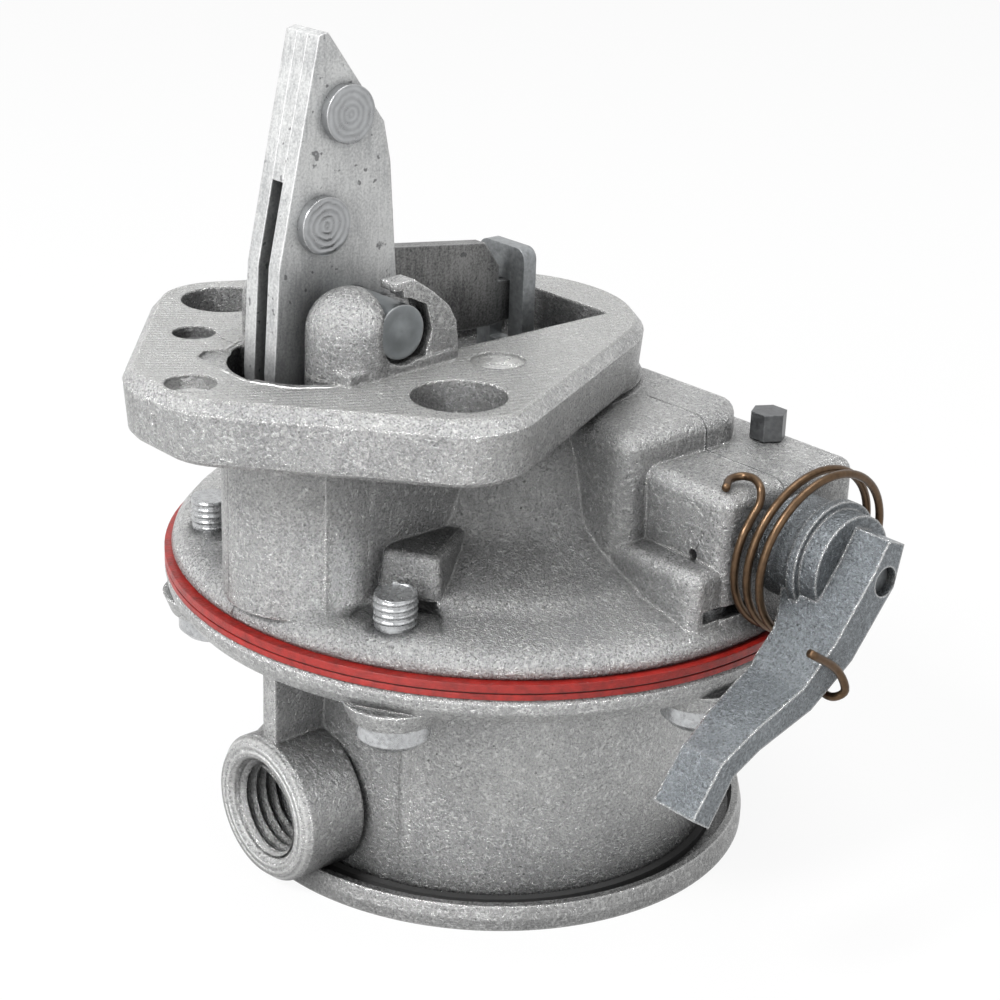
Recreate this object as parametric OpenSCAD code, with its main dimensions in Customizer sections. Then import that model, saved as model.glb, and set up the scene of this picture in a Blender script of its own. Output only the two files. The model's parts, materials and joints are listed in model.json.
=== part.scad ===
// Diaphragm fuel transfer pump with rocker lever and hand primer.
// Z is the pump axis, the origin lies on it in the plane of the cover rim.
// X runs along the rocker pin, the inlet port faces -Y. Lengths in millimetres.

/* [Base] */
// How far the cover's rim stands out beyond the drum
cover_lip = 4.6; // [4:0.1:8]
// Sheet thickness of the bottom cover
cover_t = 1.2; // [0.8:0.1:1.8]
// Height of the cover's turned-up rim
cover_rim_h = 3.2; // [2.6:0.1:4.5]
// Thickness of the cover gasket
gasket_t = 1; // [0.5:0.1:1.6]

/* [Lower housing] */
// Height of the joint face above the base
joint_z = 36; // [35:0.5:42]
// Outer radius of the drum at its foot
drum_r = 29.8; // [29:0.1:31]
// Wall of the drum
drum_wall = 3.4; // [2.5:0.1:4]
// Thickness of the round flange under the diaphragm
lower_flange_t = 4.5; // [3.5:0.1:6]
// Thickness of the deck that holds the valves
deck_t = 4; // [3:0.1:5]
// Height of the port axis above the base
port_z = 10.6; // [10.3:0.1:12]
// Distance of the port face from the pump axis
port_reach = 38; // [36:0.5:46]
// Outer diameter of a port boss
port_boss_d = 19; // [17.5:0.1:19.5]
// Minor diameter of the port thread
port_bore_d = 12.4; // [10:0.1:13]
// Direction of the outlet port, seen from above
outlet_turn = 150; // [145:1:155]

/* [Joint screws] */
// Number of joint screws
screw_count = 6; // [6:1:6]
// Thread diameter of the joint screws
screw_d = 5; // [4:0.5:5.5]
// Radius of the screw circle
screw_circle_r = 37; // [36.5:0.1:37.6]
// Diameter of the screw heads
screw_head_d = 8.9; // [8:0.1:9.6]
// Height of the screw heads
screw_head_h = 3.4; // [2.5:0.1:4.5]
// How far the screw ends stand above the round flange
screw_end = 3.8; // [1:0.1:5]

/* [Diaphragm] */
// Radius of the diaphragm
diaphragm_r = 43; // [42.5:0.1:46]
// Thickness of the upper ply
upper_ply_t = 1; // [0.6:0.1:1.6]
// Thickness of the dark ply between
insert_t = 0.2; // [0.1:0.05:0.5]
// Thickness of the lower ply
lower_ply_t = 0.7; // [0.4:0.1:1.4]
// Radius of the upper diaphragm plate
plate_r = 22; // [19:0.5:22.4]
// Sheet thickness of the diaphragm plates
plate_t = 1.5; // [1:0.1:1.8]

/* [Upper housing] */
// Radius of the round flange above the diaphragm
round_flange_r = 42.1; // [41.6:0.1:42.6]
// Thickness of the round flange
round_flange_t = 3.6; // [3:0.1:4.5]
// Radius of the raised step inside the screws
step_r = 32.2; // [31.5:0.1:32.8]
// Height of the raised step
step_h = 2; // [1:0.1:2.4]
// Radius of the tower above the dome
tower_r = 22.5; // [22:0.1:24]
// Height of the dome between the step and the tower
dome_h = 4.7; // [4.3:0.1:6]
// Radius of the neck's round front wall
neck_r = 10.1; // [9.8:0.1:10.8]
// Half the width of the neck behind its round front
neck_half_w = 12.5; // [12:0.1:13.5]

/* [Mounting flange] */
// Height of the mounting face above the base
mount_z = 69.2; // [69:0.1:74]
// Thickness of the mounting flange
mount_t = 7.7; // [6:0.1:8.2]
// Diameter of the mounting holes
mount_hole_d = 11; // [9:0.1:12]
// Distance between the mounting holes
mount_pitch = 45; // [44:0.5:48]
// Radius of the flange round a mounting hole
ear_r = 9.2; // [8.5:0.1:11]
// Radius of the flange's rear end
rear_r = 19.5; // [18.5:0.1:21]
// Radius of the flange's front corners
nose_r = 9; // [8:0.1:10]
// Half the width of the opening
slot_half_w = 9.5; // [9:0.1:9.8]
// Radius of the opening's front end
slot_r = 9.3; // [8.6:0.1:9.6]
// Distance of the opening's rear end behind the axis
slot_rear = 8.7; // [7:0.1:10]

/* [Rocker] */
// Distance of the rocker pin in front of the axis
pivot_reach = 26.8; // [26:0.1:27.6]
// Height of the rocker pin above the mounting face
pivot_rise = 4.7; // [4.4:0.1:6]
// Diameter of the rocker pin
pivot_d = 6.4; // [5.4:0.1:6.8]
// Thickness of each lever plate
lever_t = 2; // [1.6:0.1:2.2]
// Height of the lever's tip above the pin
lever_rise = 32.5; // [28:0.5:40]
// Diameter of the rivet heads
rivet_head_d = 6.7; // [6:0.1:7.2]
// Height of the rivet heads
rivet_head_h = 1.2; // [0.6:0.1:1.8]

/* [Pull rod] */
// Diameter of the rod's stem
rod_d = 5; // [4:0.1:5.4]
// Width of the flat head
head_w = 8.4; // [7.6:0.1:10]
// Thickness of the flat head
head_t = 2; // [1.6:0.1:2.4]
// Width of the window in the head
window_w = 3.4; // [3:0.1:4]

/* [Primer] */
// Distance of the primer shaft behind the axis
primer_y = 9; // [8.6:0.1:9.6]
// Height of the primer shaft above the joint
primer_rise = 11.1; // [10.8:0.1:12]
// Diameter of the primer shaft
primer_d = 6; // [5:0.1:6.4]
// How far the block's outer face stands beyond the screw circle
block_out = 4; // [3.6:0.1:5]
// Distance of the lever's outer face from the block
lever_out = 15; // [13.5:0.5:18]
// Thickness of the primer lever
hand_t = 4.2; // [3:0.1:5]
// Radius of the torsion spring's turns
torsion_r = 10.2; // [9.4:0.1:11]
// Diameter of the torsion spring's wire
torsion_wire = 1; // [0.7:0.05:1.2]

/* [Valves] */
// Distance of the valves from the axis
valve_reach = 15.5; // [15:0.1:15.8]
// Radius of a valve seat
valve_r = 7; // [6.4:0.1:7.2]
// Lift of a valve disc
valve_lift = 1.2; // [0.6:0.1:1.6]

/* [Fits] */
// Clearance of a fixed fit
seat_gap = 0.03; // [0.01:0.01:0.06]
// Radial clearance of a running fit
run_gap = 0.05; // [0.02:0.01:0.08]

/* [Hidden] */
$fn = 72;
eps = 0.01;
hull_fn = 32;

cast = "#b9bbba";
steel = "#a9adaf";
dark = "#3a3c3e";
red = "#b3211a";
bronze = "#6b4a2c";

// Heights along the pump axis
base_z = cover_t + gasket_t;
filter_z = 17.5;
deck_z = filter_z + 2.5;
deck_top = deck_z + deck_t;
flange_low_z = joint_z - lower_flange_t;
lower_ply_z = joint_z + lower_ply_t;
insert_z = lower_ply_z + insert_t;
upper_z = insert_z + upper_ply_t;
annulus_z = upper_z + round_flange_t;
step_z = annulus_z + step_h;
tower_z = step_z + dome_h;
mount_low_z = mount_z - mount_t;
pivot_z = mount_z + pivot_rise;
primer_z = upper_z + primer_rise;
plate_top = upper_z + plate_t;

// Inside of the upper housing
chamber_top = plate_top + 4.3;
pocket_top = plate_top + 5.6;
pocket_r = 13;
oil_floor = pocket_top + 3.5;
oil_r = 17.5;
neck_floor = oil_floor + 1.5;

// Radii of the pieces on the axes
screw_r = screw_d / 2;
rod_r = rod_d / 2;
pin_r = pivot_d / 2;
shaft_r = primer_d / 2;
drum_top_r = drum_r - 0.8;
chamber_r = 24;
filter_r = drum_r - drum_wall - 0.6;
deck_boss_r = 5.5;
port_r = port_boss_d / 2;
clamp_screw_r = 3;
outlet_bore_start = valve_reach + 4.4;

// Cup in the middle of the cover, for the head of the cover screw
cup_z = 4.4;
cup_r = 8;

// Rocker: the plates lie side by side on the pin
rocker_x = 1.5 * lever_t;
cover_r = drum_r + cover_lip;
block_reach = screw_circle_r + block_out;
lever_reach = block_reach + lever_out;

// One turned solid from its (radius, height) outline
module turned(outline) rotate_extrude() polygon(outline);

// Copies round the screw circle
module at_screws() {
    for (i = [0:screw_count - 1]) rotate(i * 360 / screw_count) translate([screw_circle_r, 0, 0]) children();
}

// A cylinder along X from x0 to x1, centred on (y, z)
module along_x(x0, x1, y, z, r) {
    translate([x0, y, z]) rotate([0, 90, 0]) cylinder(h = x1 - x0, r = r);
}

// A plate from x0 to x1 whose (y, z) outline is the 2D child
module plate_x(x0, x1) {
    translate([x0, 0, 0]) rotate([90, 0, 90]) linear_extrude(x1 - x0) children();
}

// Tube of radius r along a list of points
module wire(path, r, sides = 8) {
    n = len(path);
    dirs = [for (i = [0:n - 1]) let (d = path[min(i + 1, n - 1)] - path[max(i - 1, 0)]) d / norm(d)];
    ref = [0.13, 0.31, 0.94];
    points = [for (i = [0:n - 1]) let (a = cross(dirs[i], ref), u = a / norm(a), v = cross(dirs[i], u))
        for (k = [0:sides - 1]) path[i] + r * (cos(360 * k / sides) * u + sin(360 * k / sides) * v)];
    walls = [for (i = [0:n - 2]) for (k = [0:sides - 1]) for (half = [0, 1]) let (m = (k + 1) % sides)
        half == 0 ? [i * sides + k, i * sides + m, (i + 1) * sides + m]
        : [i * sides + k, (i + 1) * sides + m, (i + 1) * sides + k]];
    ends = [[for (k = [sides - 1:-1:0]) k], [for (k = [0:sides - 1]) (n - 1) * sides + k]];
    polyhedron(points, concat(walls, ends), convexity = 10);
}

// Points of a coil about Z: turns from radius r0 at z0 to radius r1 at z1
function coil(r0, r1, z0, z1, turns, steps = 24) =
    [for (i = [0:turns * steps]) let (t = i / (turns * steps), a = 360 * turns * t, r = r0 + (r1 - r0) * t)
        [r * cos(a), r * sin(a), z0 + (z1 - z0) * t]];

module port_at(turn) {
    rotate(turn) translate([0, 0, port_z]) rotate([0, 90, 0]) children();
}

module lower_housing() color(cast) difference() {
    union() {
        turned([[0, base_z], [drum_r, base_z], [drum_top_r, flange_low_z - 1], [drum_top_r + 1, flange_low_z],
            [diaphragm_r - 3.2, flange_low_z], [diaphragm_r - 1.3, flange_low_z + 1], [diaphragm_r - 0.2,
            flange_low_z + 2.6], [diaphragm_r, joint_z - 0.6], [diaphragm_r - 0.4, joint_z], [0, joint_z]]);
        for (turn = [-90, outlet_turn]) {
            port_at(turn) translate([0, 0, drum_r - 0.6]) {
                cylinder(h = port_reach - drum_r - 0.4, r = port_r);
                translate([0, 0, port_reach - drum_r - 0.4 - eps]) cylinder(h = 1 + eps, r1 = port_r,
                    r2 = port_r - 0.9);
            }
            rotate(turn) translate([drum_r - 1.2, -1.25, port_z]) cube([port_reach - drum_r - 0.2, 2.5,
                flange_low_z - port_z + 0.5]);
        }
        rotate(-62.5) translate([drum_top_r, 0, base_z + 1.5])
            cylinder(h = flange_low_z - base_z - 1.4, r = 0.9);
        at_screws() translate([0, 0, joint_z - 6]) cylinder(h = 2.5, r1 = 5.4, r2 = 6.4);
    }
    // Filter chamber with a ledge under the screen, and the deck above it
    difference() {
        union() {
            translate([0, 0, base_z - eps]) cylinder(h = filter_z - base_z + eps, r = drum_r - drum_wall);
            translate([0, 0, filter_z - eps]) cylinder(h = deck_z - filter_z + eps, r = filter_r - 1);
        }
        translate([0, 0, base_z + 6]) cylinder(h = deck_z - base_z, r = deck_boss_r);
        difference() {
            rotate(outlet_turn) union() {
                translate([valve_reach, 0, base_z + 0.6]) cylinder(h = deck_z, r = valve_r + 2.4);
                translate([valve_reach, -port_r, base_z + 0.6]) cube([drum_r - valve_reach, port_boss_d,
                    deck_z - base_z]);
            }
            cylinder(h = cup_z + cover_t + 0.8, r = cup_r + 2.8);
        }
    }
    // Room for the cover's rim under the ports
    turned([[drum_r - 1.5, -5], [cover_r + 0.8, -5], [cover_r + 0.8, cover_rim_h + 0.4],
        [drum_r + 0.2, cover_rim_h + 0.4], [drum_r + 0.2, base_z], [drum_r - 1.5, base_z]]);
    // Pump chamber under the diaphragm
    turned([[0, deck_top], [chamber_r, deck_top], [chamber_r, deck_top + 4], [chamber_r + 6, joint_z + eps],
        [0, joint_z + eps]]);
    // Outlet chamber and the two valve holes
    rotate(outlet_turn) translate([valve_reach, 0, cup_z + cover_t + 2])
        cylinder(h = deck_z - cup_z - cover_t - 2 + eps, r = valve_r + 0.6);
    for (turn = [outlet_turn, outlet_turn + 180]) rotate(turn) translate([valve_reach, 0, deck_z - eps])
        cylinder(h = deck_t + 2 * eps, r = valve_r + seat_gap);
    // Ports
    port_at(-90) translate([0, 0, drum_r - drum_wall - 4]) cylinder(h = port_reach, d = port_bore_d);
    port_at(outlet_turn) translate([0, 0, outlet_bore_start]) cylinder(h = port_reach, d = port_bore_d);
    for (turn = [-90, outlet_turn]) port_at(turn) translate([0, 0, port_reach - 1])
        cylinder(h = 1 + eps, d1 = port_bore_d, d2 = port_bore_d + 1.6);
    // Screw holes
    at_screws() translate([0, 0, joint_z - 8]) cylinder(h = 9, r = screw_r + 0.2);
    translate([0, 0, base_z]) cylinder(h = deck_z - base_z - 1, r = clamp_screw_r + seat_gap);
}

module bottom_cover() color(cast) turned([[clamp_screw_r + 0.3, cup_z], [cup_r, cup_z], [cup_r + 1.6, 0],
    [cover_r, 0], [cover_r, 1.5], [cover_r - 0.4, cover_rim_h], [cover_r - 1.4, cover_rim_h],
    [cover_r - 1.8, cover_t], [cup_r + 2.4, cover_t], [cup_r + 0.8, cup_z + cover_t],
    [clamp_screw_r + 0.3, cup_z + cover_t]]);

module cover_gasket() color(dark) turned([[drum_r - drum_wall, cover_t], [drum_r + 1, cover_t],
    [drum_r + 1, base_z], [drum_r - drum_wall, base_z]]);

module cover_washer() color(steel) turned([[clamp_screw_r + 0.2, cup_z - 0.8], [6.5, cup_z - 0.8],
    [6.5, cup_z], [clamp_screw_r + 0.2, cup_z]]);

module cover_screw() color(steel) {
    cylinder(h = cup_z - 0.8, r = 5.6, $fn = 6);
    translate([0, 0, cup_z - 0.8]) cylinder(h = deck_z - cup_z - 2, r = clamp_screw_r);
}

module filter_screen() color("#8d8a70") difference() {
    translate([0, 0, filter_z - 0.6]) cylinder(h = 0.6, r = filter_r + 0.4);
    translate([0, 0, filter_z - 1]) cylinder(h = 2, r = deck_boss_r + 0.2);
    rotate(outlet_turn) translate([valve_reach, 0, filter_z - 1]) cylinder(h = 2, r = valve_r + 2.6);
    rotate(outlet_turn) translate([valve_reach, -port_r - 0.2, filter_z - 1])
        cube([drum_r, port_boss_d + 0.4, 2]);
}

// Clamped edge of one ply of the diaphragm, between two heights
module ply(z0, z1, r) difference() {
    translate([0, 0, z0]) cylinder(h = z1 - z0, r = r);
    translate([0, 0, z0 - 1]) cylinder(h = z1 - z0 + 2, r = chamber_r + 6);
    at_screws() translate([0, 0, z0 - 1]) cylinder(h = z1 - z0 + 2, r = screw_r + 0.2);
}

module diaphragm_lower() color(red) ply(joint_z, lower_ply_z, diaphragm_r);
module diaphragm_insert() color(dark) ply(lower_ply_z, insert_z, diaphragm_r - 0.2);
module diaphragm_upper() color(red) ply(insert_z, upper_z, diaphragm_r);

// Free ring of the diaphragm that flexes, and the middle that the plates clamp
module diaphragm_web() color(red) turned([[plate_r + 0.7, joint_z], [chamber_r + 5.9, joint_z],
    [chamber_r + 5.9, upper_z], [plate_r + 0.7, upper_z]]);
module diaphragm_centre() color(red) turned([[rod_r + 0.1, joint_z], [plate_r + 0.3, joint_z],
    [plate_r + 0.3, upper_z], [rod_r + 0.1, upper_z]]);

module diaphragm_plate_upper() color(steel) turned([[rod_r + 0.1, upper_z], [plate_r - 0.6, upper_z],
    [plate_r + 0.4, upper_z + 0.7], [plate_r + 0.4, plate_top + 0.4], [plate_r - 0.6, plate_top + 0.4],
    [plate_r - 1.2, plate_top], [rod_r + 0.1, plate_top]]);

module diaphragm_plate_lower() color(steel) turned([[rod_r + 0.1, joint_z - plate_t], [plate_r - 2.2,
    joint_z - plate_t], [plate_r - 1.2, joint_z - 0.8], [plate_r - 1.2, joint_z], [rod_r + 0.1, joint_z]]);

module rod_nut() color(steel) difference() {
    translate([0, 0, joint_z - plate_t - 4]) cylinder(h = 4, r = 4.6, $fn = 6);
    translate([0, 0, joint_z - plate_t - 5]) cylinder(h = 6, r = rod_r + seat_gap);
}

// Rod: round stem with a flat windowed head that the link arm reaches through
head_z0 = neck_floor + 6.5;
head_top = pivot_z + 3.6;
window_top = pivot_z + 0.4;
window_low = window_top - 9.2;
module pull_rod() color(steel) difference() {
    union() {
        translate([0, 0, joint_z - plate_t - 5.5])
            cylinder(h = head_z0 - joint_z + plate_t + 5.5 + 1, r = rod_r);
        translate([0, head_t / 2, 0]) rotate([90, 0, 0]) linear_extrude(head_t) union() {
            translate([-head_w / 2, head_z0]) square([head_w, head_top - head_z0 - 1.5]);
            translate([-head_w / 2 + 1.5, head_top - 1.6]) square([head_w - 3, 1.6]);
            for (s = [-1, 1]) translate([s * (head_w / 2 - 1.5), head_top - 1.5]) circle(r = 1.5);
        }
    }
    translate([-window_w / 2, -head_t, window_low]) cube([window_w, 2 * head_t, window_top - window_low]);
    translate([-rod_r - 1, head_t / 2, head_z0]) cube([rod_d + 2, rod_d, 2]);
    translate([-rod_r - 1, -head_t / 2 - rod_d, head_z0]) cube([rod_d + 2, rod_d, 2]);
}

washer_r = 12;
washer_t = 1.2;
module lift_washer() color(steel) translate([0, 0, head_z0 - washer_t]) difference() {
    cylinder(h = washer_t, r = washer_r);
    translate([0, 0, -1]) cylinder(h = washer_t + 2, r = rod_r + seat_gap);
}

module diaphragm_spring() color(steel)
    wire(coil(plate_r - 5, pocket_r - 4, plate_top + 0.8, pocket_top - 0.8, 3, 30), 0.75);

module rod_seal() color(dark) translate([0, 0, pocket_top + 0.6]) difference() {
    cylinder(h = 1.8, r = 6);
    translate([0, 0, -1]) cylinder(h = 4, r = rod_r + run_gap);
}

module seal_retainer() color(steel) translate([0, 0, pocket_top + 2.4]) difference() {
    cylinder(h = 0.8, r = 6);
    translate([0, 0, -1]) cylinder(h = 3, r = rod_r + 0.5);
}

// Flange outline corners: (x, y, radius)
flange_corners = [[0, -3, rear_r], [mount_pitch / 2, -pivot_reach, ear_r], [3, -43.5, nose_r],
    [-3, -43.5, nose_r], [-mount_pitch / 2, -pivot_reach, ear_r]];

module mounting_flange() hull() for (c = flange_corners) translate([c.x, c.y, mount_low_z]) {
    cylinder(h = eps, r = c[2] - 1.4, $fn = hull_fn * 2);
    translate([0, 0, mount_t - 1.5]) cylinder(h = 1.5, r1 = c[2], r2 = c[2] - 1.3, $fn = hull_fn * 2);
}

// Rounded block over posts at the corners: rounded top, walls that spread by the draft at the foot
module cast_block(corners, z0, z1, r, draft = 0) hull() for (c = corners) translate([c.x, c.y, 0]) {
    translate([0, 0, z0]) cylinder(h = 1, r = r + draft, $fn = hull_fn);
    translate([0, 0, z1 - r]) sphere(r = r, $fn = 20);
}
function box_posts(x0, x1, y0, y1, r) = [for (x = [x0 + r, x1 - r], y = [y0 + r, y1 - r]) [x, y]];

// Bearing boss of the rocker pin: a foot, a blunt nose in front of the pin, and behind it an ear
// that is crimped over the pin's end
boss_x = rocker_x + 0.4;
boss_nose_r = 5.1;
nose_y = -pivot_reach - 4.4;
boss_foot = [[boss_x, nose_y - 4.6], [boss_x + 6, nose_y - 4.8], [boss_x + 10.2, nose_y - 4],
    [boss_x + 9.6, nose_y + 7],
    [boss_x + 9.3, nose_y + 12.6], [boss_x, nose_y + 12.6]];
ear_outline = [[-1.4, 5.9], [1.5, 6], [4.2, 4.2], [6.7, 2.1], [7.8, 0.1], [8.2, -2.6], [8.2, -6], [2.5, -6],
    [3.4, -3], [4.2, -0.3], [3.4, 2.8], [1.1, 3.9], [-1.3, 4.4]];
module bearing_boss() {
    foot_z = mount_low_z + 4;
    translate([0, 0, foot_z]) linear_extrude(mount_z + 1.4 - foot_z) polygon(boss_foot);
    translate([boss_x + boss_nose_r, nose_y, 0]) turned(concat([[0, foot_z], [boss_nose_r, foot_z]],
        [for (a = [0:12:84]) [boss_nose_r * cos(a), pivot_z + boss_nose_r * sin(a)]],
        [[0, pivot_z + boss_nose_r * sin(84)]]));
    translate([0, -pivot_reach, 0]) plate_x(boss_x, boss_x + 5.8)
        polygon([[-3, foot_z], [7.4, foot_z], [7, pivot_z - 1], [5.4, pivot_z + 1.4], [-3, pivot_z + 1.4]]);
    translate([0, -pivot_reach, pivot_z]) plate_x(slot_half_w - 0.4, slot_half_w + 3.1) polygon(ear_outline);
}

// Opening: a straight part with a round front end that stands off to the right
slot_front = [2.4, -32.6];
module slot_outline(front_r, half_w) union() {
    translate([-half_w, slot_front.y - 3]) square([2 * half_w, slot_rear - slot_front.y + 3]);
    translate(slot_front) circle(r = front_r);
}

module neck_outline() union() {
    translate(slot_front) circle(r = neck_r);
    polygon([[slot_front.x - neck_r + 1.2, slot_front.y - 4], [slot_front.x + neck_r - 0.8, slot_front.y - 4.4],
        [neck_half_w, slot_front.y + 2], [neck_half_w, 0], [-neck_half_w, 0], [-neck_half_w, slot_front.y + 9]]);
}

module upper_housing() color(cast) difference() {
    union() {
        turned([[0, upper_z], [round_flange_r - 0.4, upper_z], [round_flange_r, upper_z + 0.6],
            [round_flange_r - 0.3, upper_z + 1.6], [round_flange_r - 1.4, annulus_z - 0.7],
            [round_flange_r - 3, annulus_z - 0.15], [step_r + 0.6, annulus_z + 1.1], [step_r, step_z - 0.3],
            [step_r - 0.6, step_z], [step_r - 3, step_z + 0.9], [tower_r + 2.4, tower_z - 1.2],
            [tower_r + 1, tower_z - 0.2], [tower_r, tower_z + 1.4], [tower_r - 2, tower_z + 8],
            [tower_r - 5, mount_low_z + eps], [0, mount_low_z + eps]]);
        translate([0, 0, annulus_z - 1]) linear_extrude(mount_low_z - annulus_z + 1 + eps) neck_outline();
        mounting_flange();
        // Shoulder over the rear, primer block, and the ledge in front of it
        cast_block([[10, -3.4], [block_reach - 15.2, -3.4], [block_reach - 15.2, 11.6], [block_reach - 17.6, 14.6],
            [10, 14.6]], annulus_z - 1, mount_low_z - 0.6, 2.2, 0.8);
        cast_block(box_posts(18, block_reach, -2, 21, 1.8), annulus_z - 2.5, upper_z + 18.9, 1.8);
        cast_block(box_posts(18, block_reach - 0.4, -6, 12, 1.6), annulus_z - 2, upper_z + 10, 1.6);
        for (s = [0, 1]) mirror([s, 0, 0]) bearing_boss();
        // Raised lug behind a joint screw
        rotate(-60) cast_block(box_posts(22, step_r + 0.8, -3.6, 3.6, 1), annulus_z - 1, annulus_z + 7, 1, 0.4);
    }
    // Opening, neck and oil space
    difference() {
        union() {
            translate([0, 0, mount_low_z + 0.7]) linear_extrude(mount_z) slot_outline(slot_r, slot_half_w);
            translate([0, 0, neck_floor]) linear_extrude(mount_low_z - neck_floor + 1.4)
                slot_outline(neck_r - 1.9, slot_half_w - 2.6);
        }
        for (s = [0, 1]) mirror([s, 0, 0]) bearing_boss();
    }
    turned([[0, oil_floor], [oil_r, oil_floor], [oil_r, tower_z + 7], [oil_r - 3.4, mount_low_z - 1],
        [0, mount_low_z - 1]]);
    translate([10, -1, primer_z - 3.3]) cube([4.2, 14, mount_low_z - primer_z]);
    // Diaphragm chamber and the spring's pocket
    turned([[0, upper_z - eps], [chamber_r + 6, upper_z - eps], [plate_r + 1.6, chamber_top],
        [pocket_r, chamber_top], [pocket_r, pocket_top], [0, pocket_top]]);
    // Rod bore and seal seat
    translate([0, 0, pocket_top - 1]) cylinder(h = 6, r = rod_r + 0.5);
    translate([0, 0, pocket_top + 0.6]) cylinder(h = 6, r = 6 + seat_gap);
    // Rocker pin grooves
    along_x(-20, 20, -pivot_reach, pivot_z, pin_r + seat_gap);
    for (s = [0, 1]) mirror([s, 0, 0]) {
        along_x(slot_half_w + 1.6, 20, -pivot_reach, pivot_z, pin_r + 0.5);
        translate([0, -pivot_reach - pin_r + 0.6, pivot_z]) cube([slot_half_w + 0.6, pivot_d - 1.2, 10]);
        translate([slot_half_w, -pivot_reach - pin_r + 0.6, pivot_z]) cube([10, pin_r - 0.6, 5]);
    }
    // Primer shaft bore with its seal groove
    along_x(10, block_reach + 1, primer_y, primer_z, shaft_r + run_gap);
    along_x(block_reach - 3, block_reach + 1, primer_y, primer_z, shaft_r + 2);
    // Mounting holes, joint screws and block pin
    for (s = [-1, 1]) translate([s * mount_pitch / 2, -pivot_reach, mount_low_z - 1])
        cylinder(h = mount_t + 2, d = mount_hole_d);
    at_screws() {
        translate([0, 0, upper_z - 1]) cylinder(h = round_flange_t + screw_end + 1.6, r = screw_r + seat_gap);
        translate([0, 0, annulus_z]) cylinder(h = 1.6, r = screw_r + 3);
    }
    translate([block_reach - 11.4, primer_y + 8.3, upper_z + 12]) cylinder(h = 20, r = 1.5 + seat_gap);
    // Small drain hole in the block, and shallow recesses in the mounting face
    translate([block_reach - 4.7, -4, upper_z + 10.5]) rotate([-90, 0, 0]) cylinder(h = 6, r = 0.7);
    for (p = [[1.7, -48.2, 3], [15.6, -15, 3.2], [-13.4, -37.6, 2.6]])
        translate([p.x, p.y, mount_z - 1.6]) cylinder(h = 3, r = p[2]);
}

module block_pin() color(dark) translate([block_reach - 11.4, primer_y + 8.3, upper_z + 13]) {
    cylinder(h = 6, r = 1.5);
    translate([0, 0, 6]) cylinder(h = 3.4, r = 2.3, $fn = 6);
}

// Lever outline in (y, z) about the pin
function lever_outline() = [[-4.7, lever_rise - 0.3], [-3.5, lever_rise], [4.5, lever_rise - 10.7],
    [5.5, lever_rise - 15.4], [6.6, 3.1], [6.3, -3.9], [2.8, -7.9], [-4.2, -9.4], [-10.8, -8.4],
    [-10.9, -5.9], [-10.2, 6.5], [-7.2, lever_rise - 11.8]];

module rocker_plate(x0, cut_below = false) translate([0, -pivot_reach, pivot_z]) difference() {
    plate_x(x0, x0 + lever_t) difference() {
        polygon(lever_outline());
        if (cut_below) translate([-20, -20]) square([40, 36]);
    }
    along_x(x0 - 1, x0 + lever_t + 1, 0, 0, pin_r + run_gap);
    for (p = rivet_places) along_x(x0 - 1, x0 + lever_t + 1, p[0], p[1], rivet_r + seat_gap);
}

rivet_r = 1.9;
rivet_places = [[-1.1, lever_rise - 9.1], [-4.4, 11.1]];
module rocker_plate_outer() color(steel) rocker_plate(lever_t / 2);
module rocker_plate_middle() color(steel) rocker_plate(-lever_t / 2, true);
module rocker_plate_inner() color(steel) rocker_plate(-rocker_x);

module rocker_rivets() color(steel) for (p = rivet_places)
    translate([0, p[0] - pivot_reach, p[1] + pivot_z]) {
    along_x(-rocker_x - 0.02, rocker_x + 0.02, 0, 0, rivet_r);
    along_x(rocker_x, rocker_x + rivet_head_h, 0, 0, rivet_head_d / 2);
    along_x(-rocker_x - rivet_head_h, -rocker_x, 0, 0, rivet_head_d / 2);
}

module pivot_pin() color(steel) along_x(-slot_half_w - 2.8, slot_half_w + 2.8, -pivot_reach, pivot_z, pin_r);

// Link arm: hub on the pin, arm to the rod, tongue through the rod's window
module link_arm() color(steel) translate([0, -pivot_reach, pivot_z]) difference() {
    union() {
        along_x(-0.45 * lever_t, 0.45 * lever_t, 0, 0, 5.2);
        plate_x(-0.45 * lever_t, 0.45 * lever_t) polygon([[-1, 4.6], [8, 6.1], [pivot_reach - 4.6, 4.4],
            [pivot_reach - 2.2, 1.1], [pivot_reach - 2.2, -0.8], [pivot_reach + 4, -1.4],
            [pivot_reach + 4, -5.4], [pivot_reach - 3, -6.4], [6, -5.6], [-1, -4.6]]);
    }
    along_x(-5, 5, 0, 0, pin_r + run_gap);
}

module rocker_spring() color(steel) translate([0, -pivot_reach - 6.4, 0])
    wire(coil(3.4, 3.4, neck_floor + 0.6, pivot_z - 10, 5, 20), 0.55, 6);

// Primer: shaft, finger, hand lever and torsion spring, in (y, z) about the shaft
module primer_shaft() color(steel) translate([0, primer_y, primer_z]) {
    along_x(10.4, lever_reach - 5.4, 0, 0, shaft_r);
    along_x(lever_reach - 5.5, lever_reach - 1.2, 0, 0, 1.75);
    plate_x(10.4, 13.4) polygon([[2.2, -1.6], [2.2, 1.6], [-1.4, 2.6], [-8.5, 2], [-8.5, -0.2], [-1.4, -2.4]]);
}

// Place between the block's and the lever's outer faces
function reach(share) = block_reach + share * lever_out;

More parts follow.
